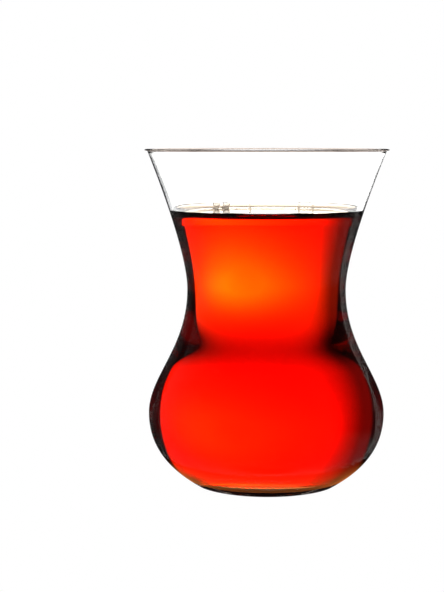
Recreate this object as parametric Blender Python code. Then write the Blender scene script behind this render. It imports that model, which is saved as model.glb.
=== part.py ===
"""Tulip-shaped Turkish tea glass, filled with black tea.

The glass is one turned piece: a foot with a hollow underside, a round belly,
a narrow waist and a thin flared wall with a rounded lip. The tea is a separate solid
that fills the glass to just under the flare, with the edge of its surface
drawn up the wall and a few bubbles floating there.
"""

import math

import bmesh
import bpy
from mathutils import Matrix, Vector
from mathutils.geometry import interpolate_bezier

# Driving dimensions, in metres and degrees. Z is up and the glass stands on z = 0.
HEIGHT = 0.0896
RIM_RADIUS = 0.0316
WAIST_RADIUS = 0.0211
WAIST_HEIGHT = 0.0525
BELLY_RADIUS = 0.0315
BELLY_HEIGHT = 0.0192
FOOT_RADIUS = 0.0187
FOOT_ROUNDING = 0.0004
HEEL_ANGLE = 31.5
RIM_ANGLE = 68.5

# How far each curve of the outer side stays close to its station's direction.
HEEL_REACH = 0.0076
BELLY_REACH = 0.0096
WAIST_REACH_DOWN = 0.0159
WAIST_REACH_UP = 0.0102
RIM_REACH = 0.0034

# The glass wall and base.
RIM_WALL = 0.0006
WAIST_WALL = 0.0016
BELLY_WALL = 0.0022
INNER_BELLY_RISE = -0.0004
INNER_BELLY_REACH = 0.0125
FLOOR_HEIGHT = 0.0039
FLOOR_RADIUS = 0.0128
FLOOR_REACH = 0.0077
LIP_HEIGHT = 0.0005
LIP_WIDTH = 0.0013
LIP_OUTSET = 0.0004
LIP_STEPS = 6
RECESS_STEPS = 4
BEARING_RING_INNER = 0.0152
UNDERSIDE_RECESS = 0.0023

# The tea. Its edge is drawn up the wall by MENISCUS_RISE above the flat surface.
TEA_EDGE_BELOW_RIM = 0.0158
MENISCUS_RISE = 0.0016
MENISCUS_DECAY = 0.0014
MENISCUS_STEPS = 6
MENISCUS_WIDTH = 0.0060
WALL_GAP = 0.0003

# Bubbles on the tea: angle round the glass from +X, radius, gap to the wall.
BUBBLES = (
    (126.9, 0.00106, 0.00035),
    (119.1, 0.00112, 0.00040),
    (122.4, 0.00045, 0.00185),
    (101.2, 0.00045, 0.00050),
    (67.5, 0.00050, 0.00045),
    (57.0, 0.00040, 0.00060),
    (195.0, 0.00045, 0.00040),
    (288.0, 0.00050, 0.00040),
    (331.0, 0.00045, 0.00040),
)
BUBBLE_LIFT = 0.25
BUBBLE_SEGMENTS = 10
BUBBLE_RINGS = 6

TURN_STEPS = 48
CURVE_STEPS = 8
MERGE_DISTANCE = 0.00001


def clear_scene():
    for item in list(bpy.data.objects):
        bpy.data.objects.remove(item, do_unlink=True)


def make_material(name, color, roughness, metallic, alpha):
    material = bpy.data.materials.new(name)
    material.use_nodes = True
    shader = material.node_tree.nodes["Principled BSDF"]
    shader.inputs["Base Color"].default_value = (*color, 1.0)
    shader.inputs["Roughness"].default_value = roughness
    shader.inputs["Metallic"].default_value = metallic
    shader.inputs["Alpha"].default_value = alpha
    material.diffuse_color = (*color, alpha)
    return material


def direction(angle):
    """Unit vector in the profile plane, at an angle in degrees above +X."""
    turn = math.radians(angle)
    return Vector((math.cos(turn), math.sin(turn)))


def curve_between(start, start_handle, end_handle, end, steps=CURVE_STEPS):
    """Points along one Bezier curve, without its last point."""
    return interpolate_bezier(start, start_handle, end_handle, end, steps + 1)[:-1]


def upper_side(rim, waist, belly, reach):
    """Rim to waist to belly, top to bottom, for the outer or the inner side."""
    up = Vector((0.0, 1.0))
    rim_handle = rim - direction(RIM_ANGLE) * RIM_REACH
    flare = curve_between(rim, rim_handle, waist + up * WAIST_REACH_UP, waist)
    taper = curve_between(waist, waist - up * WAIST_REACH_DOWN, belly + up * reach, belly)
    return flare + taper


def outer_side():
    rim = Vector((RIM_RADIUS, HEIGHT - LIP_HEIGHT))
    waist = Vector((WAIST_RADIUS, WAIST_HEIGHT))
    belly = Vector((BELLY_RADIUS, BELLY_HEIGHT))
    heel = Vector((FOOT_RADIUS, 0.0)) + direction(HEEL_ANGLE) * FOOT_ROUNDING
    down = Vector((0.0, -1.0))
    lower = curve_between(
        belly, belly + down * BELLY_REACH, heel + direction(HEEL_ANGLE) * HEEL_REACH, heel
    )
    return upper_side(rim, waist, belly, BELLY_REACH) + lower + [heel]


def inner_side():
    """Inside of the wall, from the rim down to the middle of the floor."""
    rim = Vector((RIM_RADIUS - RIM_WALL, HEIGHT - LIP_HEIGHT))
    waist = Vector((WAIST_RADIUS - WAIST_WALL, WAIST_HEIGHT))
    belly = Vector((BELLY_RADIUS - BELLY_WALL, BELLY_HEIGHT + INNER_BELLY_RISE))
    floor_edge = Vector((FLOOR_RADIUS, FLOOR_HEIGHT))
    floor_middle = Vector((0.0, FLOOR_HEIGHT))
    down = Vector((0.0, -1.0))
    bowl = curve_between(
        belly, belly + down * INNER_BELLY_REACH, floor_edge + direction(0.0) * FLOOR_REACH, floor_edge
    )
    return upper_side(rim, waist, belly, INNER_BELLY_REACH) + bowl + [floor_edge, floor_middle]


def lip(inner_end, outer_end):
    """Flat rounded lip, turned out a little from the wall, from inside to outside."""
    center = (inner_end + outer_end) / 2.0 + Vector((LIP_OUTSET, LIP_HEIGHT / 2.0))
    half_size = Vector((LIP_WIDTH, LIP_HEIGHT)) / 2.0
    turns = [210.0 - 240.0 * step / LIP_STEPS for step in range(LIP_STEPS + 1)]
    return [center + direction(turn) * half_size for turn in turns]


def glass_profile():
    inside = inner_side()
    outside = outer_side()
    lip_points = lip(inside[0], outside[0])
    foot_edge = Vector((FOOT_RADIUS - FOOT_ROUNDING, 0.0))
    ring_edge = Vector((BEARING_RING_INNER, 0.0))
    recess_top = Vector((0.0, UNDERSIDE_RECESS))
    recess_handle = Vector((BEARING_RING_INNER / 2.0, UNDERSIDE_RECESS))
    recess = curve_between(ring_edge, ring_edge, recess_handle, recess_top, RECESS_STEPS)
    return inside[::-1] + lip_points + outside + [foot_edge] + recess + [recess_top]


def offset_inward(points, distance):
    """Moves a side's points towards the inside of the glass, along its normals."""
    moved = []
    for index, point in enumerate(points):
        before = points[max(index - 1, 0)]
        after = points[min(index + 1, len(points) - 1)]
        along = (after - before).normalized()
        moved.append(point + Vector((along.y, -along.x)) * distance)
    moved[-1] = points[-1] + Vector((0.0, distance))
    return moved


def below_height(points, height):
    """The part of a falling side under a height, starting exactly at it."""
    for index, (upper, lower) in enumerate(zip(points, points[1:])):
        if lower.y < height:
            share = (upper.y - height) / (upper.y - lower.y)
            return [upper.lerp(lower, share)] + points[index + 1:]
    return points


def tea_edge_height():
    return HEIGHT - TEA_EDGE_BELOW_RIM


def tea_surface_height(edge_gap):
    """Height of the tea's surface at a distance from its edge."""
    rise = MENISCUS_RISE * math.exp(-edge_gap / MENISCUS_DECAY)
    return tea_edge_height() - MENISCUS_RISE + rise


def tea_side():
    return below_height(offset_inward(inner_side(), WALL_GAP), tea_edge_height())


def tea_profile():
    side = tea_side()
    edge_radius = side[0].x
    surface = [Vector((0.0, tea_surface_height(edge_radius)))]
    for step in range(MENISCUS_STEPS, 0, -1):
        gap = MENISCUS_WIDTH * (step / MENISCUS_STEPS) ** 2
        surface.append(Vector((edge_radius - gap, tea_surface_height(gap))))
    return surface + side


def turned(name, profile, material):
    """A solid turned round Z from a profile of radius and height."""
    mesh = bpy.data.meshes.new(name)
    points = [(point.x, 0.0, point.y) for point in profile]
    edges = [(index, index + 1) for index in range(len(points) - 1)]
    mesh.from_pydata(points, edges, [])
    item = bpy.data.objects.new(name, mesh)
    bpy.context.scene.collection.objects.link(item)
    screw = item.modifiers.new("turn", "SCREW")
    screw.steps = TURN_STEPS
    screw.render_steps = TURN_STEPS
    screw.use_merge_vertices = True
    screw.merge_threshold = MERGE_DISTANCE
    screw.use_smooth_shade = True
    mesh.materials.append(material)
    return item


def bubble_place(angle, radius, gap):
    """Center of a bubble that floats at a gap from the tea's edge."""
    edge_gap = radius + gap
    reach = tea_side()[0].x - edge_gap
    turn = math.radians(angle)
    height = tea_surface_height(edge_gap) + radius * BUBBLE_LIFT
    return Vector((reach * math.cos(turn), reach * math.sin(turn), height))


def make_bubbles(group):
    for angle, radius, gap in BUBBLES:
        mesh = bpy.data.meshes.new("bubble")
        shape = bmesh.new()
        bmesh.ops.create_uvsphere(
            shape, u_segments=BUBBLE_SEGMENTS, v_segments=BUBBLE_RINGS, radius=radius,
            matrix=Matrix.Translation(bubble_place(angle, radius, gap)),
        )
        shape.to_mesh(mesh)
        shape.free()
        group.objects.link(bpy.data.objects.new("bubble", mesh))


def apply_modifiers(item):
    graph = bpy.context.evaluated_depsgraph_get()
    mesh = bpy.data.meshes.new_from_object(item.evaluated_get(graph))
    item.modifiers.clear()
    item.data = mesh


def make_glass():
    material = make_material("clear_glass", (0.93, 0.95, 0.94), 0.03, 0.0, 0.35)
    return turned("glass", glass_profile(), material)


def make_tea():
    material = make_material("black_tea", (0.42, 0.035, 0.006), 0.05, 0.0, 1.0)
    tea = turned("tea", tea_profile(), material)
    group = bpy.data.collections.new("bubbles")
    bpy.context.scene.collection.children.link(group)
    make_bubbles(group)
    union = tea.modifiers.new("bubbles", "BOOLEAN")
    union.operation = "UNION"
    union.solver = "EXACT"
    union.operand_type = "COLLECTION"
    union.collection = group
    apply_modifiers(tea)
    for bubble in list(group.objects):
        bpy.data.objects.remove(bubble, do_unlink=True)
    bpy.data.collections.remove(group)
    tea.data.shade_smooth()
    return tea


def main():
    clear_scene()
    make_glass()
    make_tea()


main()
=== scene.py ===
import math

import bmesh
import bpy
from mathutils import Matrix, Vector
from mathutils.geometry import interpolate_bezier


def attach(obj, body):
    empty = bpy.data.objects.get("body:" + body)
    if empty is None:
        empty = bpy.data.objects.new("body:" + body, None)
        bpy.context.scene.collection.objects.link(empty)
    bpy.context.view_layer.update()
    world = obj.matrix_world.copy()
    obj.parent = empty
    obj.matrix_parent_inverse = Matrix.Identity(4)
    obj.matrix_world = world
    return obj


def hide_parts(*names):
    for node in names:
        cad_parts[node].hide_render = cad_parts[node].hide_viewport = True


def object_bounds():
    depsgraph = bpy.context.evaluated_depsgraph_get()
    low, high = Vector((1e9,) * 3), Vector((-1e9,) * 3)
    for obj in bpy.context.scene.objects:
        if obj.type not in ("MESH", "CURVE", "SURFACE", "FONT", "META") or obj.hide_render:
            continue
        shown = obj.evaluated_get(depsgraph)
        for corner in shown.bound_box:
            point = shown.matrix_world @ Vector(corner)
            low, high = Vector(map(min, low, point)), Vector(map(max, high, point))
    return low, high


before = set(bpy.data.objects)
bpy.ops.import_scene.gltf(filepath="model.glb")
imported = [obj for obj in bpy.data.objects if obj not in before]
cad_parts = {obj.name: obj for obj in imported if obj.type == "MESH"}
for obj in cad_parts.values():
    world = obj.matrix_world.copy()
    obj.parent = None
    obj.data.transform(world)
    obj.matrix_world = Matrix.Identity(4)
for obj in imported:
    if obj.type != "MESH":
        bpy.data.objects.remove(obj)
cadLow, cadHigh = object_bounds()
print("frame loaded, height", round(cadHigh.z * 1000, 1), "mm")

mm = 0.001
up = Vector((0.0, 1.0))      # in a turned profile: x is the radius, y the height
onAxis = 0.0001 * mm         # a radius this small counts as the middle


# the camera of the photograph, just above the rim and a little off centre
cameraSettings = {
    "distance": 420 * mm,          # from the axis of the glass
    "aboveRim": 0.5,               # degrees, seen from the rim's middle
    "focalPixels": 1579.5,
    "imageSize": (444, 592),
    "axisColumn": 266.6,           # where the axis stands in the picture
    "rimRow": 148.9,
    "sensorLongSide": 36.0,
    "clip": (10 * mm, 50.0),
}


def makeCamera():
    s = cameraSettings
    width, height = s["imageSize"]
    data = bpy.data.cameras.new("camera")
    data.sensor_width = s["sensorLongSide"]
    data.lens = s["focalPixels"] * s["sensorLongSide"] / max(width, height)
    data.clip_start, data.clip_end = s["clip"]
    item = bpy.data.objects.new("camera", data)
    bpy.context.scene.collection.objects.link(item)
    rise = s["distance"] * math.tan(math.radians(s["aboveRim"]))
    item.location = (0.0, -s["distance"], cadHigh.z + rise)
    rimDown = math.atan2(height / 2 - s["rimRow"], s["focalPixels"])
    pitch = rimDown + math.radians(s["aboveRim"])
    pan = math.atan2(s["axisColumn"] - width / 2, s["focalPixels"])
    item.rotation_euler = (math.pi / 2 - pitch, 0.0, pan)
    bpy.context.scene.camera = item


# the turned glass: heights, radii and walls of its stations, and how far each curve
# between them keeps to a station's direction
glassSettings = {
    "rimRadius": 31.6 * mm, "rimAngle": 68.5, "rimReach": 3.4 * mm,
    "waistRadius": 21.1 * mm, "waistHeight": 52.5 * mm,
    "waistReachDown": 15.9 * mm, "waistReachUp": 10.2 * mm,
    "bellyRadius": 31.5 * mm, "bellyHeight": 19.2 * mm, "bellyReach": 9.6 * mm,
    "footRadius": 18.7 * mm, "footRounding": 0.4 * mm,
    "heelAngle": 31.5, "heelReach": 7.6 * mm,
    "rimWall": 0.6 * mm, "waistWall": 1.6 * mm, "bellyWall": 2.2 * mm,
    "innerBellyRise": -0.4 * mm, "innerBellyReach": 12.5 * mm,
    "floorHeight": 3.9 * mm, "floorRadius": 12.8 * mm, "floorReach": 7.7 * mm,
    "lipHeight": 0.5 * mm, "lipWidth": 1.3 * mm, "lipOutset": 0.4 * mm,
    "lipStart": 210.0, "lipTurn": 240.0,     # the lip's oval, from the inner wall over the top
    "ringInner": 15.2 * mm, "recess": 2.3 * mm,
    "curveSteps": 26, "lipSteps": 18, "recessSteps": 16, "turnSteps": 240,
}


def direction(angle):
    turn = math.radians(angle)
    return Vector((math.cos(turn), math.sin(turn)))


def curveBetween(start, startHandle, endHandle, end, steps):
    return interpolate_bezier(start, startHandle, endHandle, end, steps + 1)[:-1]


def upperSide(rim, waist, belly, reach):
    s = glassSettings
    steps = s["curveSteps"]
    rimHandle = rim - direction(s["rimAngle"]) * s["rimReach"]
    flare = curveBetween(rim, rimHandle, waist + up * s["waistReachUp"], waist, steps)
    taper = curveBetween(waist, waist - up * s["waistReachDown"], belly + up * reach, belly, steps)
    return flare + taper


def outerSide():
    s = glassSettings
    rim = Vector((s["rimRadius"], cadHigh.z - s["lipHeight"]))
    waist = Vector((s["waistRadius"], s["waistHeight"]))
    belly = Vector((s["bellyRadius"], s["bellyHeight"]))
    heelWay = direction(s["heelAngle"])
    heel = Vector((s["footRadius"], 0.0)) + heelWay * s["footRounding"]
    lower = curveBetween(belly, belly - up * s["bellyReach"], heel + heelWay * s["heelReach"],
                         heel, s["curveSteps"])
    return upperSide(rim, waist, belly, s["bellyReach"]) + lower + [heel]


def innerSide():
    s = glassSettings
    rim = Vector((s["rimRadius"] - s["rimWall"], cadHigh.z - s["lipHeight"]))
    waist = Vector((s["waistRadius"] - s["waistWall"], s["waistHeight"]))
    belly = Vector((s["bellyRadius"] - s["bellyWall"], s["bellyHeight"] + s["innerBellyRise"]))
    floorEdge = Vector((s["floorRadius"], s["floorHeight"]))
    floorMiddle = Vector((0.0, s["floorHeight"]))
    bowl = curveBetween(belly, belly - up * s["innerBellyReach"],
                        floorEdge + direction(0.0) * s["floorReach"], floorEdge, s["curveSteps"])
    return upperSide(rim, waist, belly, s["innerBellyReach"]) + bowl + [floorEdge, floorMiddle]


def lipPoints(innerEnd, outerEnd):
    s = glassSettings
    center = (innerEnd + outerEnd) / 2.0 + Vector((s["lipOutset"], s["lipHeight"] / 2))
    halfSize = Vector((s["lipWidth"], s["lipHeight"])) / 2
    turns = [s["lipStart"] - s["lipTurn"] * step / s["lipSteps"] for step in range(s["lipSteps"] + 1)]
    return [center + direction(turn) * halfSize for turn in turns]


def glassProfile():
    s = glassSettings
    inside = innerSide()
    outside = outerSide()
    ringEdge = Vector((s["ringInner"], 0.0))
    recessTop = Vector((0.0, s["recess"]))
    recessHandle = Vector((s["ringInner"] / 2.0, s["recess"]))
    recess = curveBetween(ringEdge, ringEdge, recessHandle, recessTop, s["recessSteps"])
    footEdge = Vector((s["footRadius"] - s["footRounding"], 0.0))
    lip = lipPoints(inside[0], outside[0])
    return inside[::-1] + lip + outside + [footEdge] + recess + [recessTop]


def addTurned(mesh, profile, turnSteps, place, materialOf):
    # rings round an upright axis, closed at both ends; materialOf gives each band its material
    rings = []
    for point in profile:
        if point.x < onAxis:
            rings.append([mesh.verts.new(place + Vector((0.0, 0.0, point.y)))])
            continue
        ring = []
        for step in range(turnSteps):
            turn = 2.0 * math.pi * step / turnSteps
            spot = Vector((point.x * math.cos(turn), point.x * math.sin(turn), point.y))
            ring.append(mesh.verts.new(place + spot))
        rings.append(ring)
    for band, (first, second) in enumerate(zip(rings, rings[1:])):
        for step in range(turnSteps):
            after = (step + 1) % turnSteps
            if len(first) == 1:
                corners = [first[0], second[step], second[after]]
            elif len(second) == 1:
                corners = [first[step], second[0], first[after]]
            else:
                corners = [first[step], second[step], second[after], first[after]]
            face = mesh.faces.new(corners)
            face.material_index = materialOf(band)


def finishMesh(mesh, name):
    bmesh.ops.recalc_face_normals(mesh, faces=mesh.faces)
    data = bpy.data.meshes.new(name)
    mesh.to_mesh(data)
    mesh.free()
    data.shade_smooth()
    return data


def turnedMesh(name, profile, turnSteps, materialOf):
    mesh = bmesh.new()
    addTurned(mesh, profile, turnSteps, Vector((0.0, 0.0, 0.0)), materialOf)
    return finishMesh(mesh, name)


def addPiece(name, data, node=None):
    item = bpy.data.objects.new(name, data)
    bpy.context.scene.collection.objects.link(item)
    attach(item, "root")
    if node:
        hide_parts(node)
    return item


def newClearMaterial(name, tint, ior, roughness=0.0):
    material = bpy.data.materials.new(name)
    material.use_nodes = True
    tree = material.node_tree
    shader = tree.nodes["Principled BSDF"]
    shader.inputs["Base Color"].default_value = tint
    shader.inputs["Transmission Weight"].default_value = 1.0
    shader.inputs["IOR"].default_value = ior
    shader.inputs["Roughness"].default_value = roughness
    return material, tree, shader


def stopReflecting(shader):
    # where tea touches glass the two nearly match, so hardly anything is mirrored there
    shader.inputs["Specular Tint"].default_value = (0.0, 0.0, 0.0, 1.0)


def absorbInside(tree, absorb):
    volume = tree.nodes.new("ShaderNodeVolumeAbsorption")
    density = max(absorb)
    volume.inputs["Density"].default_value = density
    volume.inputs["Color"].default_value = (*[1.0 - part / density for part in absorb], 1.0)
    tree.links.new(volume.outputs["Volume"], tree.nodes["Material Output"].inputs["Volume"])


def mathNode(tree, operation, *values):
    node = tree.nodes.new("ShaderNodeMath")
    node.operation = operation
    for socket, value in zip(node.inputs, values):
        if isinstance(value, bpy.types.NodeSocket):
            tree.links.new(value, socket)
        else:
            socket.default_value = value
    return node.outputs[0]


# clear glass with slow, hardly visible waves in its surface
glassLook = {
    "ior": 1.52, "tint": (0.985, 0.99, 0.988, 1.0), "roughness": 0.0,
    "waveScale": 70.0, "waveDetail": 1.0, "waveHeight": 0.03 * mm,
    "lipShadeTint": (0.58, 0.50, 0.45, 1.0),        # the lip tinted darker: painted shade for the dark line along the rim
}


def addWaves(tree, shader):
    # soft noise as a bump, so mirrored and refracted lines aren't perfectly even
    s = glassLook
    noise = tree.nodes.new("ShaderNodeTexNoise")
    noise.inputs["Scale"].default_value = s["waveScale"]
    noise.inputs["Detail"].default_value = s["waveDetail"]
    tree.links.new(tree.nodes.new("ShaderNodeTexCoord").outputs["Object"], noise.inputs["Vector"])
    bump = tree.nodes.new("ShaderNodeBump")
    bump.inputs["Strength"].default_value = 1.0
    bump.inputs["Distance"].default_value = s["waveHeight"]
    tree.links.new(noise.outputs["Fac"], bump.inputs["Height"])
    tree.links.new(bump.outputs["Normal"], shader.inputs["Normal"])


def glassMaterial(name, tint, wetted=False):
    s = glassLook
    material, tree, shader = newClearMaterial(name, tint, s["ior"], s["roughness"])
    addWaves(tree, shader)
    if wetted:
        stopReflecting(shader)
    return material


# black tea: nearly free for red, dense for green and more so for blue
teaLook = {
    "ior": 1.333, "absorb": (15.0, 140.0, 300.0),     # per metre
    # the top's grey-blue tint is painted shade: it darkens and greys the light seen through the tea's top, so
    # the thin tea at the edge shows grey, not yellow
    "surfaceShadeTint": (0.55, 0.62, 0.72, 1.0), "wallTint": (1.0, 1.0, 1.0, 1.0),
}


def teaMaterial(name, tint, wetted=False):
    s = teaLook
    material, tree, shader = newClearMaterial(name, tint, s["ior"])
    if wetted:
        stopReflecting(shader)
    absorbInside(tree, s["absorb"])
    return material


# the tea's body, and its edge drawn up the wall by the rise
teaSettings = {
    "edgeBelowRim": 15.8 * mm, "rise": 1.6 * mm, "decay": 1.4 * mm,
    "meniscusSteps": 30, "meniscusWidth": 8.0 * mm, "intoWall": 0.12 * mm,
}


def teaEdgeHeight():
    return cadHigh.z - teaSettings["edgeBelowRim"]


def teaSurfaceHeight(edgeGap):
    s = teaSettings
    return teaEdgeHeight() - s["rise"] + s["rise"] * math.exp(-edgeGap / s["decay"])


def offsetOutward(points, distance):
    moved = []
    for index, point in enumerate(points):
        before = points[max(index - 1, 0)]
        after = points[min(index + 1, len(points) - 1)]
        along = (after - before).normalized()
        outward = Vector((-along.y, along.x))
        moved.append(point + outward * distance)
    moved[-1] = points[-1] - up * distance
    return moved


def belowHeight(points, height):
    for index, (upper, lower) in enumerate(zip(points, points[1:])):
        if lower.y < height:
            share = (upper.y - height) / (upper.y - lower.y)
            return [upper.lerp(lower, share)] + points[index + 1:]
    return points


def teaProfile():
    s = teaSettings
    wall = belowHeight(innerSide(), teaEdgeHeight())
    side = belowHeight(offsetOutward(innerSide(), s["intoWall"]), teaEdgeHeight())
    edgeRadius = wall[0].x
    surface = [Vector((0.0, teaSurfaceHeight(edgeRadius)))]
    for step in range(s["meniscusSteps"], 0, -1):
        gap = s["meniscusWidth"] * (step / s["meniscusSteps"]) ** 2
        surface.append(Vector((edgeRadius - gap, teaSurfaceHeight(gap))))
    surface.append(wall[0])
    return surface, side


def makeGlass():
    # the profile runs from the floor's middle up the inside, so its first bands touch tea
    wetted = sum(1 for point in innerSide() if point.y < teaEdgeHeight())
    inner = len(innerSide())
    lipEnd = inner + glassSettings["lipSteps"]

    def materialOf(band):
        if band < wetted:
            return 1
        return 2 if inner - 1 <= band <= lipEnd else 0

    data = turnedMesh("glass_body", glassProfile(), glassSettings["turnSteps"], materialOf)
    data.materials.append(glassMaterial("clearGlass", glassLook["tint"]))
    data.materials.append(glassMaterial("wettedGlass", glassLook["tint"], True))
    # the lip's darker tint is painted shade, for the dark line along the rim
    data.materials.append(glassMaterial("lipShadedGlass", glassLook["lipShadeTint"]))
    return addPiece("glass_body", data, "glass")


def makeTea():
    surface, side = teaProfile()
    onTop = len(surface) - 1
    turnSteps = glassSettings["turnSteps"]
    data = turnedMesh("tea_body", surface + side, turnSteps, lambda band: int(band > onTop))
    # its top tinted grey-blue: painted shade over the light seen through it
    data.materials.append(teaMaterial("teaSurface", teaLook["surfaceShadeTint"]))
    data.materials.append(teaMaterial("teaAtWall", teaLook["wallTint"], True))
    return addPiece("tea_body", data, "tea")


# bubbles on the tea: angle round the glass, radius and gap to its edge in mm
bubbleSettings = {
    "places": [(126.9, 1.06, 0.35), (119.1, 1.12, 0.40), (122.4, 0.45, 1.85), (101.2, 0.45, 0.50),
               (67.5, 0.50, 0.45), (57.0, 0.40, 0.60), (195.0, 0.45, 0.40), (288.0, 0.50, 0.40),
               (331.0, 0.45, 0.40)],
    "lift": 0.60, "flatness": 0.73, "film": 0.12,     # in radii
    "foot": -80.0, "arcSteps": 16, "turnSteps": 40,
    "ior": 1.33, "tint": (1.0, 1.0, 1.0, 1.0),
    "absorb": (700.0, 750.0, 770.0),                  # per metre, a grey painted shade in the film, so the outlines look dark
}


def bubbleProfile(radius):
    # a thin flattened ball of film, from its inner top down, round its foot and up to its outer top
    s = bubbleSettings
    outer = Vector((radius, radius * s["flatness"]))
    inner = outer * (1.0 - s["film"])
    turns = [90.0 - (90.0 - s["foot"]) * step / s["arcSteps"] for step in range(s["arcSteps"] + 1)]
    points = [direction(turn) * inner for turn in turns]
    return points + [direction(turn) * outer for turn in reversed(turns)]


def bubbleMaterial():
    s = bubbleSettings
    material, tree, shader = newClearMaterial("bubbleFilm", s["tint"], s["ior"])
    # the film's grey absorption is painted shade, for the dark outlines
    absorbInside(tree, s["absorb"])
    return material


def makeBubbles():
    s = bubbleSettings
    edgeRadius = belowHeight(innerSide(), teaEdgeHeight())[0].x
    mesh = bmesh.new()
    for angle, radius, gap in s["places"]:
        edgeGap = (radius + gap) * mm
        spot = direction(angle) * (edgeRadius - edgeGap)
        height = teaSurfaceHeight(edgeGap) + radius * mm * s["lift"]
        place = Vector((*spot, height))
        addTurned(mesh, bubbleProfile(radius * mm), s["turnSteps"], place, lambda band: 0)
    data = finishMesh(mesh, "tea_bubbles")
    data.materials.append(bubbleMaterial())
    return addPiece("tea_bubbles", data, "tea")


# the light as the glass sees it: soft panels round it, with dark gaps between them
# angles in degrees, azimuth 0 straight behind the glass and growing to the right
# crossings: how many surfaces of glass and tea a ray has passed, between these two numbers
lightSettings = {
    "panels": [
        {"azimuth": (-20.0, 39.0), "azimuthSoft": (12.0, 0.7),      # behind the glass
         "elevation": (-31.0, 24.0), "elevationSoft": (12.0, 4.0), "strength": 2.3},
        {"azimuth": (-39.0, 39.0), "azimuthSoft": (2.5, 0.7),       # its dim left end
         "elevation": (-31.0, 24.0), "elevationSoft": (12.0, 4.0), "strength": 0.33},
        {"azimuth": (106.0, 172.0), "azimuthSoft": (5.0, 5.0),      # seen from the back and the side
         "elevation": (-45.0, 40.0), "elevationSoft": (10.0, 8.0), "strength": 0.32},
    ],
    "clear": [      # only through bare glass: the sides, the back and the table
        {"azimuth": (-140.0, -62.0), "azimuthSoft": (8.0, 6.0),
         "elevation": (-30.0, 30.0), "elevationSoft": (10.0, 8.0), "strength": 0.75, "crossings": (3.0, 4.5)},
        {"azimuth": (110.0, 178.0), "azimuthSoft": (8.0, 6.0),
         "elevation": (-30.0, 30.0), "elevationSoft": (10.0, 8.0), "strength": 0.6, "crossings": (3.0, 4.5)},
        {"azimuth": (-200.0, 200.0), "azimuthSoft": (1.0, 1.0),
         "elevation": (-75.0, -13.0), "elevationSoft": (5.0, 3.0), "strength": 0.75, "crossings": (1.5, 4.5)},
    ],
    "lamp": {"azimuth": 7.5, "elevation": -1.8, "azimuthSpread": 9.5,        # seen through tea
             "elevationSpread": 7.3, "strength": 42.0, "crossings": (4.5, 6.5)},
    "reflected": [      # only as a mirror image on the glass
        {"azimuth": (-70.0, 70.0), "azimuthSoft": (8.0, 8.0),
         "elevation": (-60.0, 40.0), "elevationSoft": (15.0, 15.0), "strength": 0.005},
    ],
    "dim": 0.007,          # between the panels
    "backdrop": 1.0,
}

# flat things round the glass: the pale floor, a dark disc under the foot as painted contact shadow,
# tea-coloured rings round it as a painted pool of light and its painted reflection, a light at the side
stageSettings = {
    "floorRadius": 3.0, "floorLevel": -0.1 * mm,
    # the dark disc under the foot is painted contact shadow
    "shadowPatchRadius": 13.5 * mm, "shadowPatchHeight": -0.05 * mm,
    "glowRadius": 19.5 * mm, "glowColor": (1.0, 0.30, 0.07),
    "mirrorRadii": (20.2 * mm, 34.0 * mm), "mirrorColor": (1.0, 0.28, 0.06), "mirrorStrength": 0.7,
    "sideLight": {"x": -60.0 * mm, "y": (-45.0 * mm, 21.0 * mm), "z": (-20.0 * mm, 150.0 * mm),
                  "strength": 0.32, "clearStrength": 0.75, "clearCrossings": (3.0, 4.5)},
}


def glowMaterial(name, strength, color=(1.0, 1.0, 1.0)):
    material = bpy.data.materials.new(name)
    material.use_nodes = True
    tree = material.node_tree
    tree.nodes.clear()
    output = tree.nodes.new("ShaderNodeOutputMaterial")
    glow = tree.nodes.new("ShaderNodeEmission")
    glow.inputs["Color"].default_value = (*color, 1.0)
    glow.inputs["Strength"].default_value = strength
    tree.links.new(glow.outputs[0], output.inputs["Surface"])
    return material


def edgeRamp(tree, angle, place, softness):
    # rises from 0 to 1 across an edge
    node = tree.nodes.new("ShaderNodeMapRange")
    node.interpolation_type = "SMOOTHSTEP"
    tree.links.new(angle, node.inputs["Value"])
    node.inputs["From Min"].default_value = place - softness
    node.inputs["From Max"].default_value = place + softness
    return node.outputs["Result"]


def onlyAfter(tree, crossings, glow):
    # keeps a glow for rays that crossed so many surfaces: few at bare glass, more where tea is
    depth = tree.nodes.new("ShaderNodeLightPath").outputs["Transmission Depth"]
    over = mathNode(tree, "GREATER_THAN", depth, crossings[0])
    under = mathNode(tree, "LESS_THAN", depth, crossings[1])
    return mathNode(tree, "MULTIPLY", mathNode(tree, "MULTIPLY", over, under), glow)


def sideGlow():
    # brighter where it is seen through bare glass
    s = stageSettings["sideLight"]
    material = glowMaterial("sideLight", 1.0)
    tree = material.node_tree
    more = onlyAfter(tree, s["clearCrossings"], s["clearStrength"] - s["strength"])
    strength = mathNode(tree, "ADD", more, s["strength"])
    tree.links.new(strength, tree.nodes["Emission"].inputs["Strength"])
    return material


def fadingGlow():
    # tea-coloured light on the table, weaker away from the foot
    s = stageSettings
    material = glowMaterial("footMirror", 1.0, s["mirrorColor"])
    tree = material.node_tree
    away = tree.nodes.new("ShaderNodeVectorMath")
    away.operation = "LENGTH"
    tree.links.new(tree.nodes.new("ShaderNodeTexCoord").outputs["Object"], away.inputs[0])
    near, far = s["mirrorRadii"]
    fade = edgeRamp(tree, away.outputs["Value"], (near + far) / 2, (near - far) / 2)
    strength = mathNode(tree, "MULTIPLY", fade, s["mirrorStrength"])
    tree.links.new(strength, tree.nodes["Emission"].inputs["Strength"])
    return material


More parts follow.
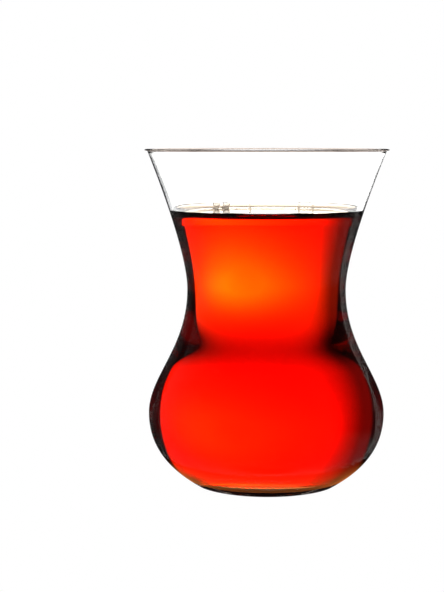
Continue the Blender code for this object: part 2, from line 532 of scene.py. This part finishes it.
def addStage(name, corners, faces, material, seenBy):
    # a flat thing for one kind of ray: the camera's, those through the glass or mirrored ones
    data = bpy.data.meshes.new(name)
    data.from_pydata(corners, [], faces)
    data.materials.append(material)
    item = bpy.data.objects.new(name, data)
    bpy.context.scene.collection.objects.link(item)
    item.visible_camera = seenBy == "camera"
    item.visible_transmission = seenBy == "through"
    item.visible_glossy = seenBy == "mirrored"
    item.visible_diffuse = False
    return item


def circlePoints(radius, height, steps=96):
    turns = [2.0 * math.pi * step / steps for step in range(steps)]
    return [(radius * math.cos(turn), radius * math.sin(turn), height) for turn in turns]


def addRing(name, innerRadius, outerRadius, height, material, seenBy):
    inner = circlePoints(innerRadius, height)
    outer = circlePoints(outerRadius, height)
    count = len(inner)
    ring = [(i, (i + 1) % count, count + (i + 1) % count, count + i) for i in range(count)]
    addStage(name, inner + outer, ring, material, seenBy)


def makeStage():
    s = stageSettings
    disc = circlePoints(s["floorRadius"], s["floorLevel"])
    addStage("floor", disc, [range(len(disc))], glowMaterial("floor", 1.0), "camera")
    # a dark disc under the foot, seen only through the glass: painted contact shadow
    patch = circlePoints(s["shadowPatchRadius"], s["shadowPatchHeight"])
    addStage("underFootShadow", patch, [range(len(patch))], glowMaterial("underFootShadow", 0.0), "through")
    # a glowing tea-coloured ring round the disc, seen only through the glass: a painted pool of light on the
    # table
    addRing("footGlow", s["shadowPatchRadius"], s["glowRadius"], s["shadowPatchHeight"],
            glowMaterial("footGlow", 1.0, s["glowColor"]), "through")
    addRing("footMirror", *s["mirrorRadii"], 2 * s["shadowPatchHeight"], fadingGlow(), "mirrored")
    side = s["sideLight"]
    (nearY, farY), (lowZ, highZ) = side["y"], side["z"]
    corners = [(side["x"], nearY, lowZ), (side["x"], farY, lowZ),
               (side["x"], farY, highZ), (side["x"], nearY, highZ)]
    addStage("sideLight", corners, [range(4)], sideGlow(), "through")


def bandGlow(tree, angle, ends, softness):
    # 1 between two angles, fading to 0 past each
    rising = edgeRamp(tree, angle, ends[0], softness[0])
    falling = edgeRamp(tree, angle, ends[1], softness[1])
    return mathNode(tree, "SUBTRACT", rising, falling)


def panelGlow(tree, azimuth, elevation, panel):
    across = bandGlow(tree, azimuth, panel["azimuth"], panel["azimuthSoft"])
    upwards = bandGlow(tree, elevation, panel["elevation"], panel["elevationSoft"])
    both = mathNode(tree, "MULTIPLY", across, upwards)
    return mathNode(tree, "MULTIPLY", both, panel["strength"])


def lampGlow(tree, azimuth, elevation, lamp):
    # a soft round spot, brightest in its middle
    across = mathNode(tree, "DIVIDE", mathNode(tree, "SUBTRACT", azimuth, lamp["azimuth"]),
                      lamp["azimuthSpread"])
    upwards = mathNode(tree, "DIVIDE", mathNode(tree, "SUBTRACT", elevation, lamp["elevation"]),
                       lamp["elevationSpread"])
    square = mathNode(tree, "ADD", mathNode(tree, "MULTIPLY", across, across),
                      mathNode(tree, "MULTIPLY", upwards, upwards))
    fade = mathNode(tree, "EXPONENT", mathNode(tree, "MULTIPLY", square, -0.5))
    return mathNode(tree, "MULTIPLY", fade, lamp["strength"])


def pick(tree, share, without, withIt):
    # one value or the other, as a kind of ray decides
    node = tree.nodes.new("ShaderNodeMix")
    tree.links.new(share, node.inputs["Factor"])
    for socket, value in ((node.inputs["A"], without), (node.inputs["B"], withIt)):
        if isinstance(value, bpy.types.NodeSocket):
            tree.links.new(value, socket)
        else:
            socket.default_value = value
    return node.outputs["Result"]


def makeWorld():
    s = lightSettings
    world = bpy.data.worlds.new("studio")
    bpy.context.scene.world = world
    world.use_nodes = True
    tree = world.node_tree
    tree.nodes.clear()
    output = tree.nodes.new("ShaderNodeOutputWorld")
    sky = tree.nodes.new("ShaderNodeBackground")
    tree.links.new(sky.outputs[0], output.inputs["Surface"])
    parts = tree.nodes.new("ShaderNodeSeparateXYZ")
    tree.links.new(tree.nodes.new("ShaderNodeTexCoord").outputs["Generated"], parts.inputs[0])
    x, y, z = parts.outputs
    azimuth = mathNode(tree, "DEGREES", mathNode(tree, "ARCTAN2", x, y))
    elevation = mathNode(tree, "DEGREES", mathNode(tree, "ARCSINE", z))

    def addPanels(glow, panels):
        for panel in panels:
            glow = mathNode(tree, "ADD", panelGlow(tree, azimuth, elevation, panel), glow)
        return glow

    soft = addPanels(s["dim"], s["panels"])
    lamp = lampGlow(tree, azimuth, elevation, s["lamp"])
    mirrored = addPanels(s["dim"], s["reflected"])
    rays = tree.nodes.new("ShaderNodeLightPath").outputs
    through = mathNode(tree, "ADD", onlyAfter(tree, s["lamp"]["crossings"], lamp), soft)
    for panel in s["clear"]:
        glow = onlyAfter(tree, panel["crossings"], panelGlow(tree, azimuth, elevation, panel))
        through = mathNode(tree, "ADD", glow, through)
    seen = pick(tree, rays["Is Transmission Ray"], mirrored, through)
    seen = pick(tree, rays["Is Camera Ray"], seen, s["backdrop"])
    sky.inputs["Color"].default_value = (1.0, 1.0, 1.0, 1.0)
    tree.links.new(seen, sky.inputs["Strength"])


renderSettings = {"viewTransform": "Standard", "bounces": 32, "glossyBounces": 16}


def setRender():
    s = renderSettings
    scene = bpy.context.scene
    scene.view_settings.view_transform = s["viewTransform"]
    scene.cycles.max_bounces = s["bounces"]
    scene.cycles.transmission_bounces = s["bounces"]
    scene.cycles.glossy_bounces = s["glossyBounces"]


makeCamera()
print("camera placed")
makeGlass()
print("glass turned")
makeTea()
print("tea poured")
makeBubbles()
print("bubbles set")
makeStage()
print("floor and flat lights laid out")
makeWorld()
print("studio light set")
setRender()
